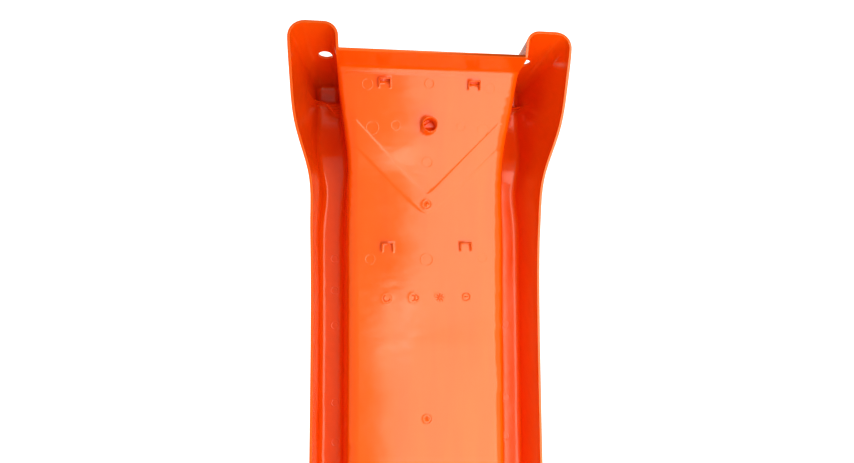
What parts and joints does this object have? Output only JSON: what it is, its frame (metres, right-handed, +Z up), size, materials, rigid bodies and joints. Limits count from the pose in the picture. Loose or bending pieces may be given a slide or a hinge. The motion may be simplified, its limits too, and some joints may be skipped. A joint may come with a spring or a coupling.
{
  "type": "slide chute",
  "caption": "Open-backed moulded play slide chute with hollow side rails, flared ears at the top, a hose socket under the start section and a run-out that stands on the ground.",
  "frame": {"origin": "on the ground, at the centre of the footprint", "axes": "+X down the slide, +Y to the left of a child facing down the slide, +Z up"},
  "size_m": [2.0448, 0.4818, 1.34],
  "materials": {
    "chute_orange": "satin moulded polypropylene",
    "seal_rubber": "matt",
    "zinc_steel": "bright zinc plate"
  },
  "bodies": {
    "root": {"upper_chute": "chute_orange", "lower_chute": "chute_orange", "joint_seal": "seal_rubber", "rail_bolts": "zinc_steel", "rail_washers": "zinc_steel", "rail_nuts": "zinc_steel", "skirt_bolts": "zinc_steel", "skirt_washers": "zinc_steel", "skirt_nuts": "zinc_steel"}
  },
  "joints": []
}
